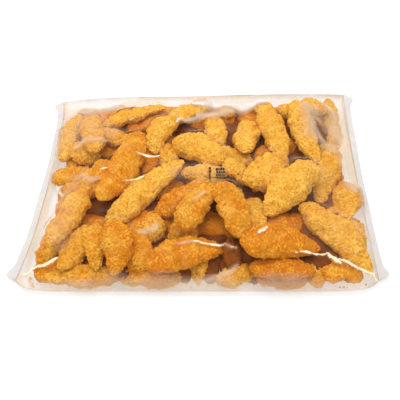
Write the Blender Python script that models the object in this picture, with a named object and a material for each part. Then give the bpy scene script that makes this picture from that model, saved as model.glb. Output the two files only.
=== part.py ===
"""Clear pillow bag of frozen breaded chicken tenders, shut and lying flat, as one solid.

+X runs along the bag, +Y away from the viewer, +Z up, with the origin under its middle.
Each tender is let down in turn onto those already there, the film is stretched over the
heap, and the solid is the space under the film with the tenders that show raised on it.
"""

import math

import bmesh
import bpy
import numpy as np
from mathutils import Matrix

MM = 0.001

# The bag, in millimetres
SEAL_LEFT_FRONT = (-212, -150)  # corners of the filled part, where the end seals begin
SEAL_LEFT_BACK = (-205, 147)
SEAL_RIGHT_FRONT = (205, -151)
SEAL_RIGHT_BACK = (214, 149)
FRONT_BOW, BACK_BOW = 11, 6  # how far the long folds bulge past their corners
LEFT_BOW, RIGHT_BOW = -9, -1  # and the seals: they are drawn in a little
OUTLINE_MIDDLE = (1, -3.7)  # of the whole bag in plan: it becomes the origin
FRONT_FOLD, BACK_FOLD = 9, 20  # heights of the long folds above the table, at mid length
FRONT_CORNER, BACK_CORNER = 4, 12  # and of the corners: those at the back stand up
SEAL_RISE = 4  # of the end seals at mid width, above their corners
SEAL_WIDTH, SEAL_THICK = 8, 1.4
FRONT_DROOP, BACK_DROOP = 0.35, 0.85  # height of a seal's free edge, as a share of the bag's there
SEAL_WAVE, SEAL_WAVES = 0.7, 19
EAR_REACH, EAR_SPREAD = 4, 2  # how far the seals' corners are pulled out
FLOOR_INSET, SEAL_INSET = 9, 14  # from the folds and seals to where the bag meets the table
FILM_SINK = 5  # depth of the gaps between the tenders that show

# The tenders, in millimetres
THICK_SHARE = 0.56  # of a tender's width
NESTING = 2.5  # crumb that gives where two tenders press on each other
FIRM_WIDTH = 0.8  # share of its width over which a tender bears on those under it
UNDER_GAP = 1  # film and crumb between the lowest tenders and the table
ROUND_END, FULL_SIDE = 3.2, 2.4  # powers of the outline and of the cross-section

# The hidden layer on the table: rows of tenders, with every second one turned
FLOOR_ROWS, FLOOR_COLUMNS = 4, 4
FLOOR_LENGTH, FLOOR_WIDTH = 92, 36
FLOOR_REACH, FLOOR_MIDDLE = (240, 190), (-20, 16)
FLOOR_SEED = 11

# The layers that show, from low to high: both ends in plan, width and sideways bend
LOW_TENDERS = (
    (112, 124, 192, 118, 34, 0),
    (-145, 76, -95, 58, 32, 0),
    (-166, 112, -172, 30, 34, -4),
    (202, 143, 195, 52, 26, 3),
    (153, 146, 182, 110, 32, 0),
    (-182, -148, -92, -146, 28, 2),
    (-84, -140, -20, -142, 26, 0),
    (4, -122, 44, -104, 28, 0),
    (-4, -90, -1, -142, 24, 0),
    (18, -148, 66, -136, 24, 0),
    (34, -100, 40, -140, 22, 0),
    (66, -146, 112, -146, 24, 0),
    (132, -122, 134, -157, 22, 0),
    (140, -146, 178, -130, 26, 0),
    (-166, -72, -184, -132, 32, 3),
    (-196, -6, -142, 18, 28, 0),
    (-122, 18, -148, -44, 32, 4),
    (194, -60, 184, -105, 28, 0),
    (190, -1, 175, -72, 34, 3),
    (142, 78, 186, 52, 32, 0),
    (186, 45, 152, -38, 36, -3),
    (-118, -90, -152, -146, 34, -3),
    (-74, -99, -44, -77, 30, 0),
    (-40, -88, -2, -92, 30, 0),
    (-42, 54, -42, 4, 24, 0),
    (-20, -2, 40, -6, 28, 0),
    (20, 30, 92, 24, 30, 2),
    (18, 100, 16, 42, 30, 2),
    (30, 120, 38, 92, 26, 0),
    (-142, 94, -48, 124, 28, 4),
    (-152, 84, -126, 24, 32, -3),
    (-44, 90, 14, 140, 36, 2),
    (75, 104, 59, 26, 34, -3),
    (32, 14, 66, -20, 30, 0),
    (66, -36, 68, -92, 28, 0),
    (-84, -92, -58, -142, 34, -3),
    (-98, -100, -94, -158, 32, 3),
    (58, -138, 144, -144, 30, 2),
    (-62, 34, -30, 90, 30, 12),
    (-16, -31, 56, -32, 26, 2),
    (-116, -84, -110, -150, 30, -3),
)
TOP_TENDERS = (
    (-36, 70, 32, 14, 42, 3),
    (136, 140, 153, 12, 34, -3),
    (87, 141, 112, 24, 37, 2),
    (114, 22, 56, -30, 42, 3),
    (124, -52, 194, -145, 38, 4),
    (147, 2, 78, -74, 42, -3),
    (-80, 74, -122, -56, 38, 5),
    (-57, -62, 14, -38, 36, 3),
    (-22, 11, -111, -79, 37, -3),
    (-146, -38, -160, -116, 34, 3),
    (-27, -94, 13, -50, 36, 2),
    (26, -38, 50, -109, 42, 3),
    (-60, -142, 26, -115, 36, 4),
    (66, -97, 142, -122, 38, 3),
    (62, -102, 54, -142, 36, 0),
)

# How finely the heap, the film and the solid are drawn
CELL = 2  # mm, of the height grid
GRID_HALF = (230, 180)
STEEPEST_PITCH, STEEPEST_ROLL = 12, 12  # degrees
FILM_CELLS = (144, 112)
FILM_STEP = 4  # film cells to one facet of the solid
FILM_SPREAD = 8  # cells that the film starts out ahead of the heap, before it is let down
FILM_ROUNDS = 300
FILM_PULL = 0.15  # mm that the film is drawn down at each round
TENDER_RINGS, TENDER_SIDES = 8, 10
SEAL_RINGS = 20

CRUMB_COLOUR = (0.76, 0.42, 0.12, 1)
CRUMB_ROUGHNESS = 0.8


def floor_tenders():
    """The hidden bottom layer, as rows like those above."""
    rng = np.random.default_rng(FLOOR_SEED)
    rows = []
    for j in range(FLOOR_ROWS):
        for i in range(FLOOR_COLUMNS):
            x = FLOOR_MIDDLE[0] + FLOOR_REACH[0] * (i / (FLOOR_COLUMNS - 1) - 0.5)
            y = FLOOR_MIDDLE[1] + FLOOR_REACH[1] * (j / (FLOOR_ROWS - 1) - 0.5)
            x, y = x + rng.uniform(-6, 6), y + rng.uniform(-5, 5)
            heading = math.radians(rng.uniform(-25, 25) + 40 * ((i + j) % 2))
            half = FLOOR_LENGTH / 2 * rng.uniform(0.85, 1)
            dx, dy = half * math.cos(heading), half * math.sin(heading)
            rows.append((x - dx, y - dy, x + dx, y + dy, FLOOR_WIDTH, 2))
    return rows


def fullness(along):
    """Share of its full width and thickness that a tender has, from -1 to 1 along it."""
    return np.maximum(0, 1 - np.abs(along) ** ROUND_END) ** (1 / 2)


def settle(tenders):
    """Lets the tenders down in order. Gives each one's resting place and the heap's height."""
    reach_x, reach_y = GRID_HALF
    x, y = np.meshgrid(
        np.arange(-reach_x, reach_x + 1, CELL, dtype=float),
        np.arange(-reach_y, reach_y + 1, CELL, dtype=float),
    )
    heap = np.zeros_like(x)
    rests = []
    for x0, y0, x1, y1, width, bend in tenders:
        middle = ((x0 + x1) / 2, (y0 + y1) / 2)
        length = math.hypot(x1 - x0, y1 - y0)
        heading = math.atan2(y1 - y0, x1 - x0)
        cos, sin = math.cos(heading), math.sin(heading)
        u = (x - middle[0]) * cos + (y - middle[1]) * sin
        along = u / (length / 2)
        v = (y - middle[1]) * cos - (x - middle[0]) * sin - bend * (1 - along**2)
        half_width = np.maximum(width / 2 * fullness(along), 1e-6)
        under = (np.abs(along) < 1) & (np.abs(v) < half_width)
        u, v, along, half_width = u[under], v[under], along[under], half_width[under]
        across = 1 - (np.abs(v) / half_width) ** FULL_SIDE
        half_thick = width * THICK_SHARE / 2 * fullness(along) * across**0.5
        needed = np.maximum(heap[under] - NESTING, UNDER_GAP) + half_thick
        firm = np.abs(v) < FIRM_WIDTH * half_width
        best = None
        for pitch in range(-STEEPEST_PITCH, STEEPEST_PITCH + 1, 2):
            for roll in range(-STEEPEST_ROLL, STEEPEST_ROLL + 1, 4):
                slopes = math.tan(math.radians(pitch)), math.tan(math.radians(roll))
                lift = np.max((needed - slopes[0] * u - slopes[1] * v)[firm])
                steepness = abs(pitch) + abs(roll)
                if best is None or lift + 0.02 * steepness < best[0]:
                    best = (lift + 0.02 * steepness, lift, slopes)
        lift, slopes = best[1:]
        heap[under] = np.maximum(heap[under], lift + slopes[0] * u + slopes[1] * v + half_thick)
        rests.append((middle, lift, heading, slopes, length, width, bend))
    return rests, heap


def read_heap(heap, x, y):
    """The heap's height at each of the points, between grid cells too."""
    column = (x + GRID_HALF[0]) / CELL
    row = (y + GRID_HALF[1]) / CELL
    i, j = column.astype(int), row.astype(int)
    across, up = column - i, row - j
    near = heap[j, i] * (1 - across) + heap[j, i + 1] * across
    far = heap[j + 1, i] * (1 - across) + heap[j + 1, i + 1] * across
    return near * (1 - up) + far * up


def bulge(t):
    """0 at both ends of an edge and 1 along most of it."""
    return 1 - (2 * t - 1) ** 4


def bag_plan(u, v):
    """Places over the filled part of the bag, with u from left to right and v from front to back."""
    plan = []
    for axis in range(2):
        near = (1 - u) * SEAL_LEFT_FRONT[axis] + u * SEAL_RIGHT_FRONT[axis]
        far = (1 - u) * SEAL_LEFT_BACK[axis] + u * SEAL_RIGHT_BACK[axis]
        plan.append((1 - v) * near + v * far)
    x = plan[0] + bulge(v) * (u * RIGHT_BOW - (1 - u) * LEFT_BOW)
    y = plan[1] + bulge(u) * (v * BACK_BOW - (1 - v) * FRONT_BOW)
    return x, y


def rim_height(u, v):
    """Height of the bag's edge, from its corners, its end seals and its long folds."""
    corner = FRONT_CORNER + (BACK_CORNER - FRONT_CORNER) * v**3
    fold = FRONT_FOLD + (BACK_FOLD - FRONT_FOLD) * v
    seal = corner + SEAL_RISE * bulge(v)
    return np.maximum(seal, corner + (fold - corner) * bulge(u))


def stretch_film(heap):
    """The film's height over the bag: taut from its rim over the heap, as a membrane is."""
    u, v = np.meshgrid(*(np.linspace(0, 1, cells + 1) for cells in FILM_CELLS))
    x, y = bag_plan(u, v)
    floor = read_heap(heap, x, y)
    on_rim = (u == 0) | (u == 1) | (v == 0) | (v == 1)
    rim = np.where((u == 0) | (u == 1), rim_height(0 * u, v), rim_height(u, 0 * v))
    film = floor.copy()
    for _ in range(FILM_SPREAD):
        film[1:-1] = np.maximum.reduce([film[:-2], film[1:-1], film[2:]])
        film[:, 1:-1] = np.maximum.reduce([film[:, :-2], film[:, 1:-1], film[:, 2:]])
    for _ in range(FILM_ROUNDS):
        film[1:-1, 1:-1] = (
            film[:-2, 1:-1] + film[2:, 1:-1] + film[1:-1, :-2] + film[1:-1, 2:]
        ) / 4 - FILM_PULL
        film = np.maximum(film, floor)
        film[on_rim] = rim[on_rim]
    return u, v, x, y, film


def closed_object(name, build):
    """A mesh object from what build adds to an empty bmesh, with its faces turned outward."""
    shape = bmesh.new()
    build(shape)
    bmesh.ops.recalc_face_normals(shape, faces=shape.faces[:])
    mesh = bpy.data.meshes.new(name)
    shape.to_mesh(mesh)
    shape.free()
    return bpy.data.objects.new(name, mesh)


def skin_rings(shape, rings, ends):
    """Joins rings of points into a skin. An end is closed by its point, or by one face if None."""
    loops = [[shape.verts.new([c * MM for c in point]) for point in ring] for ring in rings]
    count = len(loops[0])
    for near, far in zip(loops, loops[1:]):
        for k in range(count):
            after = (k + 1) % count
            shape.faces.new((near[k], near[after], far[after], far[k]))
    for loop, end in ((loops[0], ends[0]), (loops[-1], ends[1])):
        if end is None:
            shape.faces.new(loop)
            continue
        tip = shape.verts.new([c * MM for c in end])
        for k in range(count):
            shape.faces.new((loop[k], loop[(k + 1) % count], tip))


def add_tender(shape, rest):
    """One breaded tender at its resting place, as rings about its bent middle line."""
    middle, lift, heading, slopes, length, width, bend = rest

    def place(along, sideways, up):
        u = along * length / 2
        v = sideways + bend * (1 - along**2)
        x = middle[0] + u * math.cos(heading) - v * math.sin(heading)
        y = middle[1] + u * math.sin(heading) + v * math.cos(heading)
        return x, y, lift + slopes[0] * u + slopes[1] * v + up

    rings = []
    for r in range(1, TENDER_RINGS + 1):
        along = -math.cos(math.pi * r / (TENDER_RINGS + 1))
        full = float(fullness(np.array(along)))
        ring = []
        for k in range(TENDER_SIDES):
            angle = 2 * math.pi * (k + 0.5) / TENDER_SIDES
            cos, sin = math.cos(angle), math.sin(angle)
            sideways = width / 2 * full * math.copysign(abs(cos) ** (2 / FULL_SIDE), cos)
            up = width * THICK_SHARE / 2 * full * math.copysign(abs(sin) ** (2 / FULL_SIDE), sin)
            ring.append(place(along, sideways, up))
        rings.append(ring)
    skin_rings(shape, rings, (place(-1, 0, 0), place(1, 0, 0)))


def rim_loop(grid):
    """The outer points of a grid, once round it."""
    return np.concatenate([grid[0, :-1], grid[:-1, -1], grid[-1, :0:-1], grid[:0:-1, 0]])


def add_filling(shape, film_points):
    """The filled bag: the sunk film on top, sides that turn under, and a flat face below."""
    u, v, x, y, film = (grid[::FILM_STEP, ::FILM_STEP] for grid in film_points)
    from_edge = np.minimum.reduce([u, 1 - u, v, 1 - v])
    sink = FILM_SINK * np.clip(from_edge / 0.06, 0, 1)
    top = np.maximum(film - sink, FRONT_CORNER * 0.9)
    rows, columns = top.shape
    verts = [
        [shape.verts.new((x[j, i] * MM, y[j, i] * MM, top[j, i] * MM)) for i in range(columns)]
        for j in range(rows)
    ]
    for j in range(rows - 1):
        for i in range(columns - 1):
            shape.faces.new((verts[j][i], verts[j][i + 1], verts[j + 1][i + 1]))
            shape.faces.new((verts[j][i], verts[j + 1][i + 1], verts[j + 1][i]))
    rim = rim_loop(np.array(verts, dtype=object))
    inward_x = rim_loop(x) - np.sign(rim_loop(u) - 0.5) * SEAL_INSET * (
        2 * np.abs(rim_loop(u) - 0.5)) ** 12
    inward_y = rim_loop(y) - np.sign(rim_loop(v) - 0.5) * FLOOR_INSET * (
        2 * np.abs(rim_loop(v) - 0.5)) ** 12
    under = [shape.verts.new((px * MM, py * MM, 0)) for px, py in zip(inward_x, inward_y)]
    middle = shape.verts.new((0, 0, 0))
    count = len(rim)
    for k in range(count):
        after = (k + 1) % count
        shape.faces.new((rim[k], rim[after], under[k]))
        shape.faces.new((rim[after], under[after], under[k]))
        shape.faces.new((under[k], under[after], middle))


def add_seal(shape, u, outward):
    """One end seal: a wavy flat strip along the bag's end, with its corners pulled out as ears."""
    rings = []
    for v in np.linspace(0, 1, SEAL_RINGS):
        x, y = bag_plan(u, v)
        corner = abs(2 * v - 1) ** 6
        spread = y + math.copysign(EAR_SPREAD, v - 0.5) * corner
        wave = SEAL_WAVE * math.sin(SEAL_WAVES * v + u)
        high = rim_height(u, v) + wave
        droop = FRONT_DROOP + (BACK_DROOP - FRONT_DROOP) * v**3
        tip = (high - wave) * droop + wave + SEAL_THICK
        inner = x - outward * SEAL_WIDTH
        outer = x + outward * (SEAL_WIDTH + EAR_REACH * corner)
        rings.append(
            [
                (inner, y, high - SEAL_THICK),
                (outer, spread, tip - SEAL_THICK),
                (outer, spread, tip),
                (inner, y, high),
            ]
        )
    skin_rings(shape, rings, (None, None))


def crumb_material():
    material = bpy.data.materials.new("breaded_crumb")
    material.use_nodes = True
    shader = material.node_tree.nodes["Principled BSDF"]
    shader.inputs["Base Color"].default_value = CRUMB_COLOUR
    shader.inputs["Roughness"].default_value = CRUMB_ROUGHNESS
    return material


def main():
    for obj in list(bpy.data.objects):
        bpy.data.objects.remove(obj)
    hidden = floor_tenders()
    rests, heap = settle(hidden + list(LOW_TENDERS) + list(TOP_TENDERS))
    film_points = stretch_film(heap)

    bag = closed_object("tender_bag", lambda shape: add_filling(shape, film_points))
    bpy.context.scene.collection.objects.link(bag)
    bag.data.materials.append(crumb_material())

    pieces = bpy.data.collections.new("raised_pieces")
    bpy.context.scene.collection.children.link(pieces)
    for number, rest in enumerate(rests[len(hidden):]):
        piece = closed_object(f"tender_{number}", lambda shape: add_tender(shape, rest))
        pieces.objects.link(piece)
    for name, u, outward in (("left_seal", 0, -1), ("right_seal", 1, 1)):
        pieces.objects.link(closed_object(name, lambda shape: add_seal(shape, u, outward)))

    union = bag.modifiers.new("fuse", "BOOLEAN")
    union.operation = "UNION"
    union.operand_type = "COLLECTION"
    union.collection = pieces
    union.solver = "EXACT"
    graph = bpy.context.evaluated_depsgraph_get()
    fused = bpy.data.meshes.new_from_object(bag.evaluated_get(graph))
    bag.modifiers.clear()
    bag.data = fused
    fused.transform(Matrix.Translation([-c * MM for c in (*OUTLINE_MIDDLE, 0)]))
    for piece in list(pieces.objects):
        bpy.data.objects.remove(piece)
    bpy.data.collections.remove(pieces)


main()
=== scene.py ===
import math

import bpy
import numpy as np
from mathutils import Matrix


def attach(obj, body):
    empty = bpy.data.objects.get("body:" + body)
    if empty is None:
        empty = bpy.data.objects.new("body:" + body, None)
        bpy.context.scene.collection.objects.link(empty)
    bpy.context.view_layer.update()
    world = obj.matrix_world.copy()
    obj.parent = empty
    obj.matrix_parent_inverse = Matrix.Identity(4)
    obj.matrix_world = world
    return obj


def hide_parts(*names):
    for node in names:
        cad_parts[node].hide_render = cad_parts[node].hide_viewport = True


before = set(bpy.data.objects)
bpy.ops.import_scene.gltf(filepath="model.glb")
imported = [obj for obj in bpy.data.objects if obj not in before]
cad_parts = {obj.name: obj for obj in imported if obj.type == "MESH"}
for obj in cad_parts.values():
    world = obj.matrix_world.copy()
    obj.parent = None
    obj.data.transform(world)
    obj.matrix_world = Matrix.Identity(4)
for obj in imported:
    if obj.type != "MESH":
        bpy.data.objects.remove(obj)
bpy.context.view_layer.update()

# The table: a plain pale board that reaches past the picture. A wide soft lamp hangs over its
# far side in a bright even room, and the camera looks down at the bag from the front.
MM = 0.001
TABLE_HALF, TABLE_TOP = 3.0, -0.0004  # metres: it ends a hair under the bag
TABLE_COLOUR = (0.45, 0.45, 0.448, 1)
TABLE_GLOW = 0.5  # light that comes up through the board
BOARD_GRAIN = 0.02
ROOM_COLOUR = (1.0, 0.99, 0.985, 1)
ROOM_LIGHT = 1.0
LAMP_PLACE = (-0.2, 0.3, 1.3)
LAMP_SIZE = 0.8
LAMP_POWER = 9.0
CAMERA_PLACE = (-0.001, -0.4093, 0.493)
CAMERA_TILT = 38.15  # degrees from straight down
LENS, SENSOR = 43.2, 36.0


def add_node(tree, kind, settings=None, values=None, output=0):
    """A node with its settings made first, then its inputs set or linked. Gives one output."""
    node = tree.nodes.new(kind)
    for name, setting in (settings or {}).items():
        setattr(node, name, setting)
    pairs = values.items() if isinstance(values, dict) else enumerate(values or ())
    for name, value in pairs:
        socket = node.inputs[name]
        if isinstance(value, Field):
            tree.links.new(value.socket, socket)
        elif isinstance(value, list):
            for part in value:
                tree.links.new(part.socket, socket)
        elif socket.type == "VECTOR" and isinstance(value, (int, float)):
            socket.default_value = (value, value, value)
        else:
            socket.default_value = value
    return Field(node.outputs[output])


class Field:
    """A node's output that works in Python expressions, where each step adds a Math node."""

    def __init__(self, socket):
        self.socket = socket

    def work_out(self, operation, *terms):
        spatial = any(isinstance(t, Field) and t.socket.type == "VECTOR" for t in terms)
        kind = "ShaderNodeVectorMath" if spatial else "ShaderNodeMath"
        return add_node(self.socket.id_data, kind, {"operation": operation}, terms)

    def __add__(self, other):
        return self.work_out("ADD", self, other)

    def __radd__(self, other):
        return self.work_out("ADD", other, self)

    def __sub__(self, other):
        return self.work_out("SUBTRACT", self, other)

    def __rsub__(self, other):
        return self.work_out("SUBTRACT", other, self)

    def __mul__(self, other):
        return self.work_out("MULTIPLY", self, other)

    def __rmul__(self, other):
        return self.work_out("MULTIPLY", other, self)

    def __truediv__(self, other):
        return self.work_out("DIVIDE", self, other)

    def __pow__(self, other):
        return self.work_out("POWER", self, other)

    def __abs__(self):
        return self.work_out("ABSOLUTE", self)

    def at_least(self, other):
        return self.work_out("MAXIMUM", self, other)

    def at_most(self, other):
        return self.work_out("MINIMUM", self, other)

    def ease(self, low, high):
        """0 below low and 1 above high, with a smooth step between them."""
        settings = {"interpolation_type": "SMOOTHSTEP"}
        return add_node(self.socket.id_data, "ShaderNodeMapRange", settings, (self, low, high))

    def choose(self, first, second):
        """The first colour where this field is 0 and the second where it is 1."""
        settings = {"data_type": "RGBA"}
        values = {0: self, 6: first, 7: second}
        return add_node(self.socket.id_data, "ShaderNodeMix", settings, values, 2)


def new_material(name):
    """A material with an empty tree and its output node."""
    material = bpy.data.materials.new(name)
    material.use_nodes = True
    tree = material.node_tree
    tree.nodes.clear()
    return material, tree


def end_material(tree, shader):
    """Links the finished shader to the material's output."""
    end = tree.nodes.new("ShaderNodeOutputMaterial")
    tree.links.new(shader.socket, end.inputs["Surface"])


def noise(tree, place, size, detail=2.0):
    """Soft noise from 0 to 1 whose lumps are about this many metres across."""
    values = {"Vector": place, "Scale": 1 / size, "Detail": detail}
    return add_node(tree, "ShaderNodeTexNoise", {}, values)


def add_object(name, mesh):
    thing = bpy.data.objects.new(name, mesh)
    bpy.context.scene.collection.objects.link(thing)
    return thing


def table_material():
    material, tree = new_material("pale_board")
    place = add_node(tree, "ShaderNodeTexCoord", output="Object")
    values = {
        "Base Color": TABLE_COLOUR,
        "Roughness": 0.7 + 0.1 * noise(tree, place, BOARD_GRAIN),
        "Emission Color": (1, 1, 1, 1),
        "Emission Strength": TABLE_GLOW,
    }
    end_material(tree, add_node(tree, "ShaderNodeBsdfPrincipled", {}, values))
    return material


table_mesh = bpy.data.meshes.new("table")
corners = [
    (x * TABLE_HALF, y * TABLE_HALF, TABLE_TOP) for x, y in ((-1, -1), (1, -1), (1, 1), (-1, 1))
]
table_mesh.from_pydata(corners, [], [(0, 1, 2, 3)])
table_mesh.materials.append(table_material())
add_object("table", table_mesh)

room = bpy.data.worlds.new("room")
bpy.context.scene.world = room
room.use_nodes = True
sky = room.node_tree.nodes["Background"]
sky.inputs["Color"].default_value = ROOM_COLOUR
sky.inputs["Strength"].default_value = ROOM_LIGHT

lamp = add_object("lamp", bpy.data.lights.new("lamp", "AREA"))
lamp.data.shape = "DISK"
lamp.data.size = LAMP_SIZE
lamp.data.energy = LAMP_POWER
lamp.location = LAMP_PLACE
lamp.rotation_euler = (
    -math.atan2(math.hypot(*LAMP_PLACE[:2]), LAMP_PLACE[2]),
    0,
    math.atan2(-LAMP_PLACE[0], LAMP_PLACE[1]),
)

camera = add_object("camera", bpy.data.cameras.new("camera"))
camera.data.lens = LENS
camera.data.sensor_width = SENSOR
camera.data.clip_start = 0.01
camera.location = CAMERA_PLACE
camera.rotation_euler = (math.radians(CAMERA_TILT), 0, 0)
bpy.context.scene.camera = camera
bpy.context.scene.view_settings.view_transform = "Standard"

# The breaded tenders: strips of chicken breast in a fried crumb, frozen hard and tipped into
# the bag. Each is a tapered, bent and lumpy roll, and lies where it comes to rest on the others.
OUTLINE_MIDDLE = (1, -3.7)  # mm, what the layout's places are measured from
SEAL_LEFT_FRONT = (-212, -146)  # mm, corners of the filled part of the bag
SEAL_LEFT_BACK = (-205, 147)
SEAL_RIGHT_FRONT = (205, -146)
SEAL_RIGHT_BACK = (213, 150)
FRONT_BOW, BACK_BOW = 15, 6  # how far the long folds bulge past their corners
FRONT_BOW_POWER = 16  # how soon past a corner the front fold has done so
LEFT_BOW, RIGHT_BOW = -9, -1  # and the seals: they are drawn in a little
THICK_SHARE = 0.56  # of a tender's width
NESTING = 2.5  # mm of crumb that gives where two tenders press on each other
FIRM_WIDTH = 0.8  # share of its width over which a tender bears on those under it
UNDER_GAP = 1  # mm
ROUND_END, FULL_SIDE = 2.4, 2.4  # powers of the outline and of the cross-section
FLOOR_ROWS, FLOOR_COLUMNS = 4, 4
FLOOR_LENGTH, FLOOR_WIDTH = 92, 36
FLOOR_REACH, FLOOR_MIDDLE = (240, 190), (-20, 16)
FLOOR_STRAY = (6, 5)  # mm that they may lie off their rows
FLOOR_SWING, FLOOR_TURN = 25, 40  # degrees: of each at random, and of every second one
FLOOR_SHORTEST = 0.85  # share of the full length
FLOOR_SHAPE = (2, 0.2, 1.3)  # bend in mm, narrowing, and browning, which above 1.2 adds painted shade
FLOOR_SEED = 11
CELL = 2  # mm, of the height grid
GRID_HALF = (230, 180)
PITCHES, ROLLS = range(-12, 13, 2), range(-12, 13, 4)  # degrees, all tried for each tender
SLOPE_COST = 0.02  # mm of height that each degree counts as
LUMP_SIZE, LUMP_HEIGHT = 0.028, 0.0095
FULL_LUMPS = 0.018  # half width in metres of a tender whose lumps are as high as that
KNOB_SIZE, KNOB_HEIGHT = 0.008, 0.0038
CRUMB_SIZE, CRUMB_HEIGHT = 0.0024, 0.0021
CRUMB_SUNK = 0.35  # share of that height which lies under the skin
PATTERN_SHIFT = 0.31  # metres between one tender's lumps and the next one's
LOWEST = (-9.0, -9.0, 0.0009)  # metres: nothing goes through the bottom sheet
FILLERS, FILLER_SEED = 340, 4
FILLER_LENGTH, FILLER_WIDTH = (38, 58), (22, 30)  # mm
FILLER_SHAPE = {"bend": 1, "taper": 0.2}
FILLER_HEADINGS = range(0, 180, 20)  # degrees, all tried for each
FILLER_SHIFTS = (0, 0.04, 0.08)  # and these shares of the way to the bag's middle
FILLER_MARGINS = (21, 12, 12)  # mm that they keep from the bag's ends, front fold and back fold
SHADE_MARGINS = (34, 15, 36)  # and how far in they lie in the others' shade, where they are painted darker as shade
FILLER_BROWNING_AND_SHADE = (0.8, 2)  # browning of those in the light, and a value that paints those in that shade darker as shade
CLAIMED = 0.8  # how much of its outline a resting tender covers for certain
OUTSIDE_COST = 6  # how much worse it is to cross the margins than to cover a covered place
LOW_CEILING = 7  # mm: crumb under this covers the bottom sheet under it
MOST_OUTSIDE = 0.06  # share of a filler's outline that may cross those margins
BARE_SHARE = 0.04  # of the places round a spot, over which it counts as bare
GRAINS = 32000.0  # loose grains to a square metre of crumb
GRAIN_SIZE = (0.4, 0.95)  # mm from middle to edge
GRAIN_SEEDS = (5, 2, 3)  # of their places, turns and sizes
FULL_TURN = 6.28  # radians
FINE_RINGS, FINE_SIDES = 88, 56
COARSE_RINGS, COARSE_SIDES = 20, 14
TENDER_GROUPS = 6
PATCH_SIZE, SPECKLE_SIZE, CREST_SIZE = 0.022, 0.0025, 0.010
TOAST_SIZE, FINE_SIZE = 0.0040, 0.0011
PALE_CRUMB = (0.97, 0.58, 0.10, 1)
BRIGHT_CRUMB = (0.92, 0.42, 0.02, 1)
GOLD_CRUMB = (0.80, 0.40, 0.030, 1)
DEEP_CRUMB = (0.66, 0.20, 0.001, 1)
# The colour of painted shade, for tenders that lie in the others' shade
SHADED_CRUMB = (0.18, 0.040, 0.002, 1)
TOASTED_CRUMB = (0.36, 0.115, 0.005, 1)
PIT_SHADE_AND_SPECK_CRUMB = (0.46, 0.14, 0.004, 1)

# Both ends in plan, width and sideways bend in mm, narrowing towards one end, and browning, which
# above 1.2 paints the tender darker as shade
LOW_TENDERS = (
    (112, 124, 192, 118, 34, 0, 0, 0.3),
    (-145, 76, -95, 58, 32, 0, 0, 0.4),
    (-176, 116, -182, 24, 28, -3, 0, 0.15),
    (192, 149, 186, 54, 24, 3, 0, 0.15),
    (153, 146, 182, 110, 32, 0, 0, 0.35),
    (-182, -142, -92, -142, 29, 2, 0, 0.5),
    (-94, -144, -20, -144, 28, 0, 0, 0.7),
    (4, -122, 44, -104, 26, 0, 0, 2.0),
    (-4, -108, -2, -154, 24, 0, 0.7, 0.4),
    (18, -148, 66, -136, 24, 0, 0, 0.4),
    (34, -100, 40, -136, 22, 0, 0, 1.8),
    (64, -146, 122, -146, 25, 0, 0, 0.9),
    (132, -122, 134, -157, 22, 0, 0, 0.4),
    (140, -146, 178, -130, 26, 0, 0, 0.6),
    (-158, -66, -186, -130, 30, 3, 0.2, 0.5),
    (-196, -2, -142, 20, 32, 0, 0.4, 0.4),
    (-176, 38, -134, 32, 30, 0, 0, 0.4),
    (-122, 18, -148, -44, 32, 4, 0.3, 0.6),
    (189, -62, 186, -112, 30, 0, 0, 0.35),
    (190, -1, 175, -72, 34, 3, 0.2, 0.35),
    (154, 62, 190, 38, 30, 0, 0, 0.2),
    (186, 45, 149, -42, 36, -3, 0.1, 0.3),
    (-122, -85, -158, -142, 34, -3, 0.3, 0.5),
    (-74, -99, -44, -77, 30, 0, 0, 0.35),
    (-40, -86, -2, -92, 30, 0, 0, 0.7),
    (-42, 54, -42, 4, 24, 0, 0, 0.45),
    (-25, -2, 36, -6, 30, 0, 0, 0.25),
    (18, 30, 72, 24, 29, 2, 0.1, 0.5),
    (18, 108, 20, 40, 32, 2, 0, 0.2),
    (34, 127, 46, 110, 22, 0, 0, 0.45),
    (-142, 94, -48, 124, 28, 4, 0.3, 0.25),
    (-150, 94, -136, 24, 32, -2, 0.1, 0.45),
    (-44, 90, 16, 146, 36, 2, 0, 0.15),
    (75, 104, 59, 26, 34, -3, 0.1, 0.1),
    (32, 14, 66, -20, 30, 0, 0.2, 0.3),
    (66, -36, 68, -92, 28, 0, 0, 0.35),
    (-84, -92, -58, -142, 34, -3, 0.1, 0.8),
    (-100, -90, -93, -152, 33, 4, 0.15, 0.75),
    (56, -138, 130, -143, 28, 2, 0.15, 1.3),
    (-62, 34, -30, 90, 30, 12, 0.1, 0.25),
    (-16, -31, 56, -32, 26, 2, 0, 0.5),
    (-120, -88, -116, -144, 25, -3, 0.5, 0.5),
)
TOP_TENDERS = (
    (-36, 62, 30, 6, 40, 3, 0.15, 0.25),
    (137, 132, 154, 12, 33, -3, 0.35, 0.15),
    (87, 136, 112, 22, 36, 2, 0.2, 0.2),
    (114, 22, 56, -30, 42, 3, -0.2, 0.25),
    (124, -52, 194, -145, 38, 4, 0.35, 0.3),
    (147, 2, 78, -74, 42, -3, 0.2, 0.15),
    (-80, 74, -122, -56, 38, 5, 0.1, 0.8),
    (-55, -64, 28, -42, 32, 3, 0.3, 0.95),
    (-22, 11, -111, -79, 37, -3, -0.3, 0.15),
    (-143, -38, -170, -119, 29, 3, 0.15, 0.45),
    (-24, -96, 16, -44, 31, 2, 0.2, 0.7),
    (26, -38, 50, -109, 42, 3, 0.3, 0.7),
    (-60, -142, 26, -115, 36, 4, 0.25, 1.0),
    (45, -116, 139, -113, 42, 2, 0.35, 1.0),
)


def bulge(t):
    """0 at both ends of an edge and 1 along most of it."""
    return 1 - (2 * t - 1) ** 4


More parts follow.
